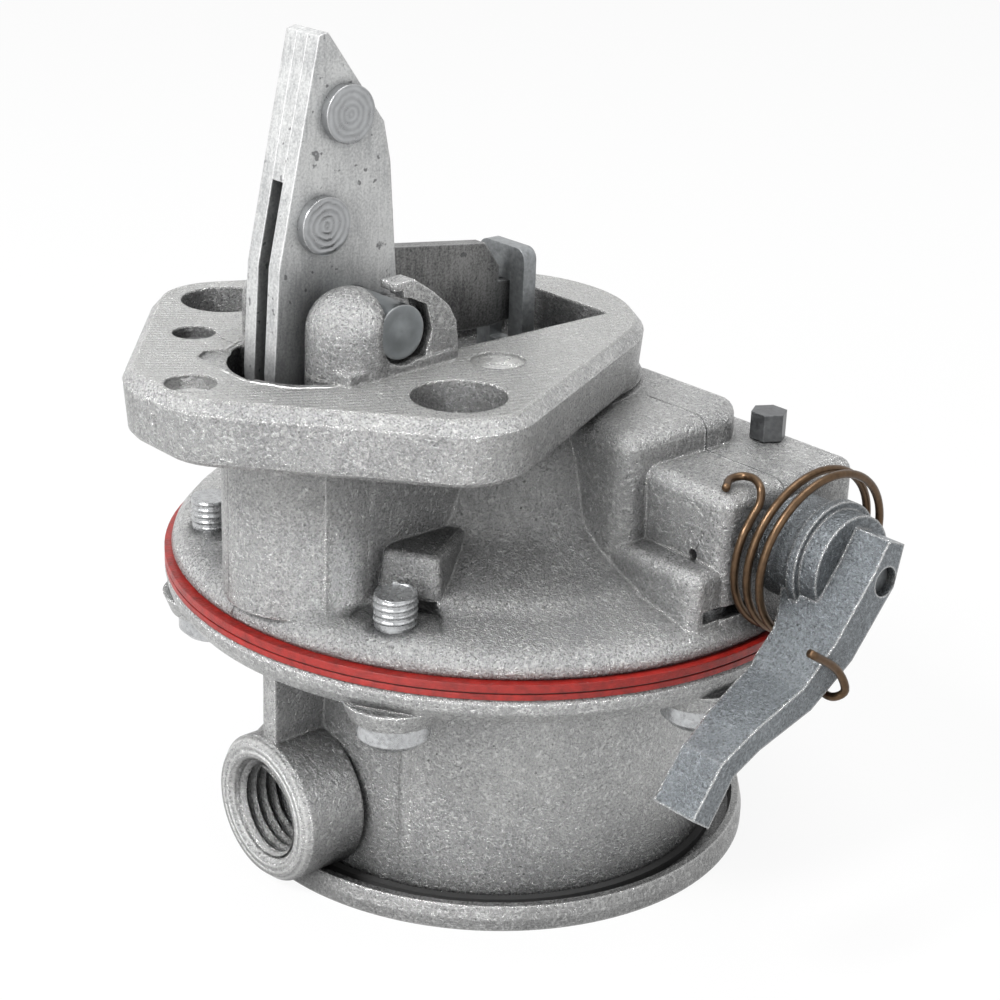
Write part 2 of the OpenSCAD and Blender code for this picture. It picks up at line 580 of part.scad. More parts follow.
// Hand lever's middle line in (y, z) about the shaft, with its share of the lever's thickness
hand_line = [[1.4, 4.5, 0.7], [-0.3, 0.2, 1.1], [-6.2, -7, 1.05], [-11.9, -11.2, 0.85], [-19.9, -13.8, 0.7],
    [-24.4, -16, 0.72], [-28.2, -21.5, 0.78]];
hand_sides = [for (i = [0:len(hand_line) - 1]) let (p = hand_line[i], a = hand_line[max(i - 1, 0)],
    b = hand_line[min(i + 1, len(hand_line) - 1)], d = [b.x - a.x, b.y - a.y], n = [-d.y, d.x] / norm(d))
    [for (side = [-1, 1]) [p.x, p.y] + side * hand_t * p[2] / 2 * n]];
hand_outline = concat([for (pair = hand_sides) pair[0]],
    [for (i = [len(hand_sides) - 1:-1:0]) hand_sides[i][1]]);
module primer_lever() color("#8f9599") translate([0, primer_y, primer_z]) difference() {
    union() {
        intersection() {
            plate_x(reach(0.27), lever_reach) polygon(hand_outline);
            rotate([90, 0, 0]) translate([0, 0, -20]) linear_extrude(60) polygon([[reach(0.27), 8],
                [lever_reach, 8], [lever_reach, -24], [reach(0.6), -24], [reach(0.6), -14.5],
                [reach(0.455), -9], [reach(0.44), -6.5], [reach(0.27), -2]]);
        }
        along_x(reach(0.07), reach(0.67), 0, 0, 6.3);
        along_x(reach(0.42), reach(0.5), 0, 0, 7.2);
    }
    along_x(block_reach, lever_reach - 5.3, 0, 0, shaft_r + seat_gap);
    along_x(block_reach, lever_reach + 1, 0, 0, 1.75 + seat_gap);
}

// Torsion spring: a hook over the block's top, two and a half turns that lean together at the
// bottom, and a hook round the lever
torsion_start = [[-1.7, -9.5, 8.35], [-2.9, -7.6, 8.6], [-2.5, -6, 8.8], [-0.8, -5.7, 8.9], [0.9, -6.4, 8.3],
    [1.3, -6.9, 6.8], [1.3, -7.9, 5.5]];
torsion_turns = [for (a = [160:15:985]) let (t = (a - 150) / 840)
    [(0.11 + 0.305 * t + 0.08 * cos(a - 60)) * lever_out, torsion_r * cos(a), torsion_r * sin(a)]];
torsion_end = [[-6.5, -3, -12.1], [-3.5, -5.6, -13], [-0.5, -7, -12.6], [1.05, -6.7, -11.2], [0.95, -8.6, -8],
    [0.75, -13.2, -4.8]];
module primer_spring() color(bronze) translate([0, primer_y, primer_z])
    wire(concat([for (p = concat(torsion_start, torsion_turns)) p + [block_reach, 0, 0]],
        [for (p = torsion_end) p + [lever_reach, 0, 0]]), torsion_wire / 2, 6);

module primer_seal() color(dark) translate([block_reach - 1.5, primer_y, primer_z]) rotate([0, 90, 0])
    rotate_extrude() translate([shaft_r + 1.05, 0]) circle(r = 0.9, $fn = 24);

// Valve at its place: the outlet valve hangs head down
module at_valve(outlet) rotate(outlet ? outlet_turn : outlet_turn + 180)
    translate([valve_reach, 0, deck_z + deck_t / 2]) mirror([0, 0, outlet ? 1 : 0]) children();

valve_post = valve_lift + 2.6;
module valve_seat() difference() {
    union() {
        translate([0, 0, -deck_t / 2]) cylinder(h = deck_t, r = valve_r);
        translate([0, 0, deck_t / 2 - eps]) cylinder(h = valve_post, r = 1);
        translate([0, 0, deck_t / 2 + valve_post - 0.6]) cylinder(h = 0.6, r = 2.6);
    }
    for (i = [0:5]) rotate(60 * i) translate([3.4, 0, -deck_t]) cylinder(h = 2 * deck_t, r = 1.2);
}

module valve_disc() translate([0, 0, deck_t / 2 + eps]) difference() {
    cylinder(h = 0.9, r = valve_r - 1.2);
    translate([0, 0, -1]) cylinder(h = 3, r = 1 + 0.15);
}

module valve_spring() wire([for (p = coil(1.9, 1.9, deck_t / 2 + 1.1, deck_t / 2 + valve_post - 0.8, 2, 16)) p],
    0.15, 6);

module inlet_valve_seat() color("#a98c4f") at_valve(false) valve_seat();
module inlet_valve_disc() color(dark) at_valve(false) valve_disc();
module inlet_valve_spring() color(steel) at_valve(false) valve_spring();
module outlet_valve_seat() color("#a98c4f") at_valve(true) valve_seat();
module outlet_valve_disc() color(dark) at_valve(true) valve_disc();
module outlet_valve_spring() color(steel) at_valve(true) valve_spring();

module flange_screws() color(steel) at_screws() {
    translate([0, 0, joint_z - 6 - screw_head_h]) {
        cylinder(h = 0.9, r1 = screw_head_d / 2 - 0.9, r2 = screw_head_d / 2);
        translate([0, 0, 0.9]) cylinder(h = screw_head_h - 0.9, r = screw_head_d / 2);
    }
    translate([0, 0, joint_z - 6 - eps]) cylinder(h = annulus_z - joint_z + 6 + screw_end, r = screw_r);
}

lower_housing();
upper_housing();
bottom_cover();
cover_gasket();
cover_screw();
cover_washer();
filter_screen();
diaphragm_upper();
diaphragm_insert();
diaphragm_lower();
diaphragm_web();
diaphragm_centre();
diaphragm_plate_upper();
diaphragm_plate_lower();
rod_nut();
pull_rod();
lift_washer();
diaphragm_spring();
rod_seal();
seal_retainer();
rocker_plate_outer();
rocker_plate_middle();
rocker_plate_inner();
rocker_rivets();
pivot_pin();
link_arm();
rocker_spring();
primer_shaft();
primer_lever();
primer_spring();
primer_seal();
block_pin();
inlet_valve_seat();
inlet_valve_disc();
inlet_valve_spring();
outlet_valve_seat();
outlet_valve_disc();
outlet_valve_spring();
flange_screws();
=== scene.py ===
# %% [markdown]
# # A fuel transfer pump, dressed for its picture
#
# The frame is the imported CAD model: every node is already in place, in metres. This lesson gives each
# surface the finish of the real pump, adds the few shapes that a CAD solid leaves out (threads, wound
# wire, burrs), and sets a camera and soft light.

# %% Load the frame
import bmesh
import bpy
import json
import math
from mathutils import Matrix, Vector


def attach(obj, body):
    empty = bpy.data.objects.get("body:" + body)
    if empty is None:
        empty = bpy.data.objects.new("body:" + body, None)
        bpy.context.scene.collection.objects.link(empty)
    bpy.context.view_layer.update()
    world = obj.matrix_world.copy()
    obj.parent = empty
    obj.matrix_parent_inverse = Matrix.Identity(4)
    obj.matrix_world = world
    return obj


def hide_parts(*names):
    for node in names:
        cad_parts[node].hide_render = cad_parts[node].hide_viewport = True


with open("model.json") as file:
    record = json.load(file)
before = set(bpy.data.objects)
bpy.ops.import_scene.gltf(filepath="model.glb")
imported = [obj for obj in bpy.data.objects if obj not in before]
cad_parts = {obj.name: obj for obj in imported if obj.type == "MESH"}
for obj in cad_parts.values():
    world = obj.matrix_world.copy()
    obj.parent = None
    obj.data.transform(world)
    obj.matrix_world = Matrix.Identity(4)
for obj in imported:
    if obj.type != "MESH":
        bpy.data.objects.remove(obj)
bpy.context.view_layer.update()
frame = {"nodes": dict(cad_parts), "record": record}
MM = 0.001
PIN_AXIS = (-26.8, 73.9)
RIVET_AXES = [(-27.9, 97.3), (-31.2, 85.0)]
FLANGE_LOW, FLANGE_TOP, FACE_Z = 61.5, 67.5, 69.2
SLOT_CENTRE = (2.4, -32.6)
RECESSES = [(14.6, -14.3, 0.0035), (1.7, -48.3, 0.0030)]
CUTTER = (-95, 20)
PORT_Z = 10.6

# %% [markdown]
# The photograph was taken from the front right, a little above the pump, with a long lens that was
# turned by two degrees. The camera gets the same place and the same turn, so that every edge falls
# where it does in the photograph. Rows of the matrix are the camera's right, up and back.

# %% Camera
RIGHT = Vector((0.660460, 0.750106, 0.033673))
UP = Vector((-0.300863, 0.223285, 0.927160))
BACK = Vector((0.687949, -0.622483, 0.373150))
CAMERA_PLACE = Vector((194.365, -175.650, 148.415)) * MM
FOCAL_SHARE = 2.17737
FILM = 36.0

camera = bpy.data.objects.new("camera", bpy.data.cameras.new("camera"))
bpy.context.scene.collection.objects.link(camera)
camera.matrix_world = Matrix.Translation(CAMERA_PLACE) @ Matrix((RIGHT, UP, BACK)).transposed().to_4x4()
camera.data.sensor_fit = "HORIZONTAL"
camera.data.sensor_width = FILM
camera.data.lens = FOCAL_SHARE * FILM
camera.data.clip_start = 0.01
bpy.context.scene.camera = camera
print("lens", round(camera.data.lens, 1), "mm")

# %% [markdown]
# Shader formulas are long chains of Math nodes. A small class that wraps a socket lets them be
# written as sums and products, and the Finish class makes one material with one method for every
# other kind of node. What is the same all over a surface is set on the shader itself.


# %% Formulas for shaders
class Value:
    """A number that varies over a surface; sums and products of it add Math nodes."""

    def __init__(self, finish, socket):
        self.finish, self.socket = finish, socket

    def math(self, operation, *others, clamp=False):
        made = self.finish.node("ShaderNodeMath", {"operation": operation, "use_clamp": clamp},
                                dict(enumerate((self,) + others)))
        return Value(self.finish, made.outputs[0])

    def __add__(self, other):
        return self.math("ADD", other)

    def __mul__(self, other):
        return self.math("MULTIPLY", other)

    def __sub__(self, other):
        return self.math("SUBTRACT", other)

    def __rsub__(self, other):
        return (self * -1) + other

    __radd__, __rmul__ = __add__, __mul__

    def above(self, edge, soft):
        """0 below the edge, 1 above it, with a soft step."""
        return ((self - edge) * (1 / soft) + 0.5).math("MAXIMUM", 0.0).math("MINIMUM", 1.0)

    def near(self, place, reach):
        """1 at the place, falling to 0 at the reach."""
        return (1 - (self - place).math("ABSOLUTE") * (1 / reach)).math("MAXIMUM", 0.0)

    def root(self):
        return self.math("SQRT")

    def least(self, other):
        return self.math("MINIMUM", other)

    def wave(self, pitch):
        """Ridges of that pitch, 0 to 1."""
        return (self * (math.tau / pitch)).math("SINE") * 0.5 + 0.5


class Finish:
    """One procedural material round a Principled shader."""

    def __init__(self, name, **constants):
        self.material = bpy.data.materials.new(name)
        self.material.use_nodes = True
        self.tree = self.material.node_tree
        self.tree.nodes.clear()
        self.shader = self.node("ShaderNodeBsdfPrincipled")
        self.set(**constants)
        self.node("ShaderNodeOutputMaterial", {}, {"Surface": self.shader.outputs[0]})
        self.here = self.node("ShaderNodeTexCoord").outputs["Object"]
        split = self.node("ShaderNodeSeparateXYZ", {}, {0: self.here})
        self.x, self.y, self.z = (Value(self, out) for out in split.outputs)

    def node(self, kind, settings=None, inputs=None):
        made = self.tree.nodes.new(kind)
        for key, value in (settings or {}).items():
            setattr(made, key, value)
        for key, value in (inputs or {}).items():
            if isinstance(value, Value):
                value = value.socket
            if isinstance(value, bpy.types.NodeSocket):
                self.tree.links.new(value, made.inputs[key])
            else:
                made.inputs[key].default_value = value
        return made

    def set(self, **values):
        for key, value in values.items():
            socket = self.shader.inputs[key.replace("_", " ").title().replace("Ior", "IOR")]
            if isinstance(value, Value):
                value = value.socket
            if isinstance(value, bpy.types.NodeSocket):
                self.tree.links.new(value, socket)
            else:
                socket.default_value = (*value, 1) if isinstance(value, tuple) else value

    def noise(self, size, detail=3.0, stretch=None, rough=0.55, swirl=0.0):
        """Noise of that grain size in metres."""
        place = self.here
        if stretch:
            place = self.node("ShaderNodeMapping", {}, {"Vector": place, "Scale": stretch}).outputs[0]
        made = self.node("ShaderNodeTexNoise", {}, {"Vector": place, "Scale": 1 / size, "Detail": detail,
                                                    "Roughness": rough, "Distortion": swirl})
        return Value(self, made.outputs[0])

    def strokes(self, size, width):
        """Short curled scratches: the lines where a swirled noise passes its middle."""
        return self.noise(size, 0.0, swirl=0.8).near(0.5, width) * self.noise(size * 0.8, 0.0).above(0.5, 0.2)

    def from_line(self, first, second):
        """Distance in metres from a line given by two (coordinate, place in mm) pairs."""
        gaps = [value - place * MM for value, place in (first, second)]
        return (gaps[0] * gaps[0] + gaps[1] * gaps[1]).root()

    def specks(self, size):
        """Distance to the nearest of many scattered points, in cells."""
        made = self.node("ShaderNodeTexVoronoi", {}, {"Vector": self.here, "Scale": 1 / size})
        return Value(self, made.outputs["Distance"])

    def blend(self, share, first, second):
        made = self.node("ShaderNodeMix", {"data_type": "RGBA"}, {0: share})
        for index, shade in ((6, first), (7, second)):
            if isinstance(shade, tuple):
                made.inputs[index].default_value = (*shade, 1)
            else:
                self.tree.links.new(shade, made.inputs[index])
        return made.outputs[2]

    def edges(self, radius):
        """Share of rubbed wear and painted highlight: 0 on flat ground, towards 1 at an edge."""
        rounded = self.node("ShaderNodeBevel", {"samples": 4}, {"Radius": radius}).outputs[0]
        flat = self.node("ShaderNodeNewGeometry").outputs["Normal"]
        same = self.node("ShaderNodeVectorMath", {"operation": "DOT_PRODUCT"}, {0: rounded, 1: flat})
        return (1 - Value(self, same.outputs["Value"])) * 4.0

    def painted_corner_shade(self, reach):
        """Share of painted shade: 0 in the open, 1 deep in a corner."""
        open_sky = self.node("ShaderNodeAmbientOcclusion", {"samples": 6}, {"Distance": reach}).outputs["AO"]
        return 1 - Value(self, open_sky).above(0.45, 0.8)

    def relief(self, height, depth, radius=0.0):
        """Bump of that depth in metres, over edges rounded by the radius."""
        made = self.node("ShaderNodeBump", {}, {"Height": height, "Distance": depth, "Strength": 1.0})
        if radius:
            rounded = self.node("ShaderNodeBevel", {"samples": 6}, {"Radius": radius})
            self.tree.links.new(rounded.outputs[0], made.inputs["Normal"])
        self.set(normal=made.outputs[0])


# %% [markdown]
# ## Die-cast aluminium
#
# The housings are pressure castings with a granular skin: fine sparkle, short curled scratches that
# are lighter or darker than the ground, and a few dark pits. Edges are painted bright, partly as rubbed
# wear and partly as a painted highlight, and corners get painted shade. A flat grey metal would look
# like plastic, so the grain goes into colour, roughness and bump together.


# %% Cast metal
def cast_metal(name, light, dark, grain=0.00026):
    """A cast finish's ground: its colour, and the patterns that the bump repeats."""
    made = Finish(name, metallic=0.9, specular_ior_level=0.4)
    fine = made.noise(grain, 5.0, rough=0.75)
    cloud = made.noise(0.007, 3.0)
    scratches = made.strokes(0.0007, 0.12)
    nicks = made.strokes(0.0005, 0.1)
    pits = 1 - made.specks(0.0017).above(0.07, 0.05)
    wear_and_sheen = made.edges(0.0005).least(1.0)
    tone = (fine * 0.75 + cloud * 0.25).above(0.5, 0.24)
    shade = made.blend(tone, dark, light)
    shade = made.blend(scratches * 0.6, shade, tuple(part * 1.55 for part in light))
    shade = made.blend(nicks * 0.5, shade, tuple(part * 0.45 for part in dark))
    shade = made.blend(pits * 0.6, shade, (0.07, 0.07, 0.07))
    # Rubbed wear and painted highlight: edges are blended towards a bright grey.
    shade = made.blend(wear_and_sheen * 0.8, shade, (0.84, 0.84, 0.83))
    # Painted shade: corners and the ground under overhangs are darkened nearly to black.
    shade = made.blend(made.painted_corner_shade(0.022) * 0.9, shade, (0.035, 0.036, 0.037))
    return made, shade, fine, scratches, pits, wear_and_sheen


def finish_cast(made, shade, fine, scratches, pits, wear_and_sheen, marks, depth, radius):
    """Set the cast colour, and a bump that also has the surface's own marks."""
    made.set(base_color=shade, roughness=fine * 0.3 + 0.14 - wear_and_sheen * 0.1)
    made.relief(fine + scratches * 0.35 - pits * 0.6 + marks, depth, radius)


# %% [markdown]
# The upper casting's mounting face is milled: its marks are arcs round a centre far outside. Two
# parting lines cross the skin, a raised burr runs round the front of the opening, and the floors of
# two punched recesses are bright. The lower casting has turned rings on the face of its port.

# %% Upper casting, lower casting and cover
upper_cast, *skin = cast_metal("upper casting", (0.47, 0.47, 0.465), (0.25, 0.252, 0.255))
BURR_R = 10.7
milled = upper_cast.z.near(FACE_Z * MM, 0.0004).above(0.4, 0.2)
sweep = upper_cast.from_line((upper_cast.x, CUTTER[0]), (upper_cast.y, CUTTER[1])).wave(0.0009)
marks = sweep * upper_cast.noise(0.004, 2.0) * milled * 0.8
seam = upper_cast.y.near(0.0079, 0.0002) * upper_cast.x.above(0.018, 0.001)
seam = seam * upper_cast.z.above(0.0555, 0.001)
front_seam = upper_cast.x.near(0.0002, 0.0002) * (1 - upper_cast.y.above(-0.0405, 0.001)) * (
    1 - upper_cast.z.above(0.0615, 0.0005))
skin[0] = upper_cast.blend(milled * 0.5, skin[0], (0.42, 0.42, 0.41))
skin[0] = upper_cast.blend(sweep.above(0.86, 0.2) * milled * 0.25, skin[0], (0.28, 0.28, 0.28))
recesses = [1 - upper_cast.from_line((upper_cast.x, x), (upper_cast.y, y)).above(radius, 0.0006)
            for x, y, radius in RECESSES]
floors = (recesses[0] + recesses[1]).least(1.0) * (1 - upper_cast.z.above(0.0688, 0.0004))
floors = floors * upper_cast.z.above(0.0655, 0.0006)
slot_gap = upper_cast.from_line((upper_cast.x, SLOT_CENTRE[0]), (upper_cast.y, SLOT_CENTRE[1]))
slot_gap = slot_gap + upper_cast.noise(0.003, 2.0) * 0.0012
burr = slot_gap.near(BURR_R * MM, 0.0004) * (1 - upper_cast.y.above(-0.034, 0.002)) * milled
skin[0] = upper_cast.blend(burr * 0.9, skin[0], (0.86, 0.86, 0.85))
skin[0] = upper_cast.blend(floors * 0.7, skin[0], (0.78, 0.78, 0.77))
skin[0] = upper_cast.blend((seam + front_seam).above(0.35, 0.3) * 0.6, skin[0], (0.16, 0.16, 0.16))
finish_cast(upper_cast, *skin, marks + burr * 2.5 + (seam + front_seam) * 2.0, 0.00022, 0.0008)

lower_cast, *skin = cast_metal("lower casting", (0.51, 0.51, 0.505), (0.28, 0.282, 0.285))
port_rings = lower_cast.from_line((lower_cast.x, 0), (lower_cast.z, PORT_Z)).wave(0.0008) * (
    1 - lower_cast.y.above(-0.0372, 0.0004)) * (1 - lower_cast.z.above(0.022, 0.0005))
skin[0] = lower_cast.blend(port_rings * 0.4, skin[0], (0.66, 0.66, 0.65))
finish_cast(lower_cast, *skin, port_rings, 0.0002, 0.0007)

cover_cast, *skin = cast_metal("cover metal", (0.46, 0.46, 0.455), (0.22, 0.22, 0.22))
finish_cast(cover_cast, *skin, cover_cast.noise(0.001, 2.0, (1, 1, 6)), 0.0001, 0.0004)
print("cast finishes", 3)

# %% [markdown]
# ## Plated and turned steel
#
# The rocker plates are plated sheet with a dull grain, faint rolling marks and small dark scuffs.
# Screws, rivets and pins are turned: their marks run in rings round their own axis.


# %% Steels
def sheet_steel(name, light, dark):
    """Plated sheet, rolled along Z, with a gritty grain and dark scuffs."""
    made = Finish(name, metallic=0.65, specular_ior_level=0.3)
    streaks = made.noise(0.0005, 3.0, (1, 1, 0.12))
    grit = made.noise(0.0003, 4.0, rough=0.7)
    cloud = made.noise(0.006, 4.0)
    scuffs = made.noise(0.0013, 2.0).above(0.69, 0.04) + made.noise(0.006, 5.0, rough=0.7).above(0.7, 0.04)
    wear_and_sheen = made.edges(0.00035).least(1.0)
    shade = made.blend((streaks * 0.2 + grit * 0.5 + cloud * 0.3).above(0.5, 0.16), dark, light)
    shade = made.blend(scuffs * 0.7, shade, (0.09, 0.09, 0.095))
    # Rubbed wear and painted highlight: edges are blended towards a bright grey.
    shade = made.blend(wear_and_sheen * 0.7, shade, (0.80, 0.80, 0.80))
    # Painted shade: corners and narrow gaps are darkened nearly to black.
    shade = made.blend(made.painted_corner_shade(0.006) * 0.8, shade, (0.04, 0.045, 0.05))
    made.set(base_color=shade, roughness=cloud * 0.2 + grit * 0.15 + 0.22 + scuffs * 0.15)
    made.relief(streaks * 0.5 + grit, 0.00004, 0.0003)
    return made


def plain_steel(name, shade, rough=0.3, metallic=0.95):
    """Metal of one colour with a faint cloud in tone and roughness."""
    made = Finish(name, metallic=metallic)
    cloud = made.noise(0.0006, 4.0)
    dark = tuple(part * 0.62 for part in shade)
    made.set(base_color=made.blend(cloud.above(0.5, 0.4), dark, shade), roughness=cloud * 0.24 + rough - 0.12)
    made.relief(cloud, 0.00003, 0.0002)
    return made


def turned_steel(name, shade, centres, pitch, rough=0.3):
    """Steel with rings round axes along X, each given as (y, z) in mm."""
    made = Finish(name, metallic=0.9)
    axes = [made.from_line((made.y, place[0]), (made.z, place[1])) for place in centres]
    nearest = axes[0]
    for axis in axes[1:]:
        nearest = nearest.least(axis)
    rings = (nearest + made.noise(0.0015, 2.0) * 0.0006).wave(pitch)
    cloud = made.noise(0.0012, 4.0)
    dark = tuple(part * 0.6 for part in shade)
    tone = made.blend(rings * 0.45 + cloud.above(0.5, 0.5) * 0.55, dark, shade)
    # Rubbed wear and painted highlight: edges are blended halfway towards a bright grey.
    made.set(base_color=made.blend(made.edges(0.0003).least(1.0) * 0.5, tone, (0.82, 0.82, 0.82)),
             roughness=cloud * 0.2 + rough - 0.1)
    made.relief(rings, 0.00005, 0.0003)
    return made


lever_steel = sheet_steel("lever steel", (0.64, 0.645, 0.64), (0.38, 0.385, 0.39))
# Painted shade: the link arm gets a darker copy of the same sheet steel as the lever plates.
shaded_arm_steel = sheet_steel("shaded arm steel", (0.30, 0.30, 0.295), (0.10, 0.10, 0.10))
plated_steel = plain_steel("plated steel", (0.55, 0.56, 0.57), 0.28, 0.85)
rivet_steel = turned_steel("rivet steel", (0.46, 0.47, 0.48), RIVET_AXES, 0.00075)
pin_steel = turned_steel("pin steel", (0.30, 0.32, 0.33), [PIN_AXIS], 0.003, 0.34)
rod_steel = plain_steel("rod steel", (0.34, 0.355, 0.365), 0.36, 0.7)
plate_steel = plain_steel("plate steel", (0.42, 0.42, 0.42), 0.4)
spring_steel = plain_steel("spring steel", (0.42, 0.42, 0.44), 0.32)
dark_steel = plain_steel("dark steel", (0.17, 0.175, 0.18), 0.42)
bronze_wire = plain_steel("bronze wire", (0.125, 0.078, 0.045), 0.34, 0.9)
valve_brass = plain_steel("valve brass", (0.62, 0.47, 0.22), 0.3)
print("steels made")

# %% [markdown]
# ## Primer casting, plies and rubber
#
# The hand lever is a darker, bluish grey casting with a slightly coarser grain. The diaphragm is two
# red coated plies with a thin dark cloth between them.

# %% Primer casting, plies and rubber
primer_cast, *skin = cast_metal("primer casting", (0.24, 0.26, 0.275), (0.12, 0.13, 0.14), 0.0003)
finish_cast(primer_cast, *skin, 0.0, 0.00022, 0.0006)

red_ply = Finish("red ply")
cloud = red_ply.noise(0.0012, 4.0)
ring = red_ply.noise(0.0004, 2.0, (1, 1, 4))
red_ply.set(base_color=red_ply.blend(cloud.above(0.5, 0.4), (0.16, 0.005, 0.003), (0.34, 0.012, 0.007)),
            roughness=ring * 0.3 + 0.25)
red_ply.relief(ring, 0.00008, 0.0002)


def rubber(name, shade, rough=0.55):
    """Dull rubber, cloth or fibre."""
    made = Finish(name)
    cloud = made.noise(0.0006, 4.0)
    dark = tuple(part * 0.5 for part in shade)
    made.set(base_color=made.blend(cloud, dark, shade), roughness=cloud * 0.3 + rough)
    made.relief(cloud, 0.00006)
    return made


dark_ply = rubber("dark ply", (0.05, 0.03, 0.028))
seal_rubber = rubber("seal rubber", (0.035, 0.035, 0.035))
gasket_fibre = rubber("gasket fibre", (0.05, 0.05, 0.05), 0.7)
mesh_brass = plain_steel("gauze", (0.5, 0.43, 0.26), 0.5)
print("plies and rubber made")

# %% Give every node its finish
FINISHES = {
    "cast_upper": upper_cast, "cast_lower": lower_cast, "cover_metal": cover_cast,
    "gasket_fibre": gasket_fibre, "plated_steel": plated_steel, "mesh_brass": mesh_brass, "red_ply": red_ply,
    "dark_ply": dark_ply, "plate_steel": plate_steel, "rod_steel": rod_steel, "spring_steel": spring_steel,
    "seal_rubber": seal_rubber, "lever_steel": lever_steel, "rivet_steel": rivet_steel,
    "primer_metal": primer_cast, "bronze_wire": bronze_wire, "dark_steel": dark_steel,
    "valve_brass": valve_brass, "valve_rubber": seal_rubber}
OWN_FINISHES = {"pivot_pin": pin_steel, "link_arm": shaded_arm_steel}
for part in frame["record"]["subparts"]:
    cad = frame["nodes"][part["node"]]
    for slot in cad.material_slots:
        slot.material = OWN_FINISHES.get(part["node"], FINISHES[part["material_slot"]]).material

# %% [markdown]
# ## Shapes that the solids leave out
#
# Threads and wound wire are lists of points that follow a formula, so they are made as meshes in
# code: a ring of corners is swept along the path, and the ends are closed.


# %% Sweeping a section along a path
def bare_piece(name, points, faces, finish):
    """A mesh object in the frame's coordinates, in metres."""
    mesh = bpy.data.meshes.new(name)
    mesh.from_pydata(points, [], faces)
    made = bpy.data.objects.new(name, mesh)
    bpy.context.scene.collection.objects.link(made)
    mesh.materials.append(finish.material)
    return made


def piece(name, points, faces, finish, body, slot, smooth=True):
    """A bare piece that rides on a body."""
    made = bare_piece(name, points, faces, finish)
    made.data.polygons.foreach_set("use_smooth", [smooth] * len(made.data.polygons))
    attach(made, body)
    return made


def loft(rings):
    """Points and faces of a closed skin through rings of equally many points."""
    sides = len(rings[0])
    points = [point for ring in rings for point in ring]
    faces = []
    for low in range(0, len(points) - sides, sides):
        high = low + sides
        faces += [(low + k, low + (k + 1) % sides, high + (k + 1) % sides, high + k) for k in range(sides)]
    faces.append(tuple(reversed(range(sides))))
    faces.append(tuple(range(len(points) - sides, len(points))))
    return points, faces


def smooth_path(knots, steps=8):
    """A Catmull-Rom curve through the knots."""
    knots = [Vector(knot) for knot in knots]
    padded = [knots[0] * 2 - knots[1], *knots, knots[-1] * 2 - knots[-2]]
    path = []
    for i in range(1, len(padded) - 2):
        a, b, c, d = padded[i - 1:i + 3]
        for step in range(steps):
            t = step / steps
            path.append(0.5 * (2 * b + (c - a) * t + (2 * a - 5 * b + 4 * c - d) * t ** 2
                               + (3 * b - a - 3 * c + d) * t ** 3))
    return path + [knots[-1]]


def wire_rings(path, radius, sides=12):
    """Rings round a path, without twist."""
    side = (path[1] - path[0]).orthogonal().normalized()
    rings = []
    for i, point in enumerate(path):
        along = (path[min(i + 1, len(path) - 1)] - path[max(i - 1, 0)]).normalized()
        side = (side - along * side.dot(along)).normalized()
        other = along.cross(side)
        angles = [math.tau * k / sides for k in range(sides)]
        rings.append([point + (side * math.cos(a) + other * math.sin(a)) * radius for a in angles])
    return rings


# %% [markdown]
# The upper casting keeps its CAD solid, and a copy of it is trimmed where the real casting differs in
# small ways: the flange wall is nearly upright, the far bearing nose is slimmer, the mounting face
# has a shallow crescent, and the flange has a notch in front.


# %% Cutting and joining
def mesh_object(name, points, faces):
    """A bare mesh object from points in millimetres."""
    mesh = bpy.data.meshes.new(name)
    mesh.from_pydata([Vector(point) * MM for point in points], [], faces)
    made = bpy.data.objects.new(name, mesh)
    bpy.context.scene.collection.objects.link(made)
    return made


def around(centre, radius, turns):
    """Points on a circle at the given shares of a turn."""
    return [(centre[0] + radius * math.cos(math.tau * turn), centre[1] + radius * math.sin(math.tau * turn))
            for turn in turns]


def even(count):
    return [k / count for k in range(count)]


def prism(name, outline, low, high):
    """An upright block over an outline that runs anticlockwise."""
    return mesh_object(name, *loft([[(x, y, z) for x, y in outline] for z in (low, high)]))


def round_post(name, centre, profile, sides=40):
    """A solid turned round an upright axis from (radius, height) pairs."""
    rings = [[(x, y, height) for x, y in around(centre, radius, even(sides))] for radius, height in profile]
    return mesh_object(name, *loft(rings))


def carve(target, tool, operation="DIFFERENCE"):
    """Cut the tool from the target, or join it on, and drop the tool."""
    step = target.modifiers.new("carve", "BOOLEAN")
    step.operation, step.solver, step.object = operation, "EXACT", tool
    mesh = bpy.data.meshes.new_from_object(target.evaluated_get(bpy.context.evaluated_depsgraph_get()))
    target.modifiers.clear()
    target.data = mesh
    bpy.data.objects.remove(tool)


def merged_copy(cad, name):
    """A copy of a CAD node whose split corners are joined."""
    made = bpy.data.objects.new(name, cad.data.copy())
    bpy.context.scene.collection.objects.link(made)
    shape = bmesh.new()
    shape.from_mesh(made.data)
    bmesh.ops.remove_doubles(shape, verts=shape.verts, dist=2e-6)
    shape.to_mesh(made.data)
    shape.free()
    return made


# %% Slimmer far bearing nose
FAR_BOSS = [(-14.2, -36.7), (-3.2, -36.7), (-3.2, -26.0), (-14.2, -26.0)]
NOSE_CENTRE = (-7.3, -30.5)
NOSE = [(3.6, 66.0), (3.6, 74.0), (3.4, 75.2), (2.8, 76.3), (1.8, 77.1), (0.6, 77.5)]
PIN_BORE, ABOVE_BOSS = 3.23, 81

casting = merged_copy(frame["nodes"]["upper_housing"], "upper_casting")
carve(casting, prism("far boss", FAR_BOSS, FACE_Z + 0.06, ABOVE_BOSS))
far_nose = round_post("nose", NOSE_CENTRE, NOSE)
bore = [[(x, y, z) for y, z in around(PIN_AXIS, PIN_BORE, even(32))] for x in (-12, -2)]
carve(far_nose, mesh_object("bore", *loft(bore)))
carve(casting, far_nose, "UNION")
print("far nose", len(casting.data.polygons), "faces")

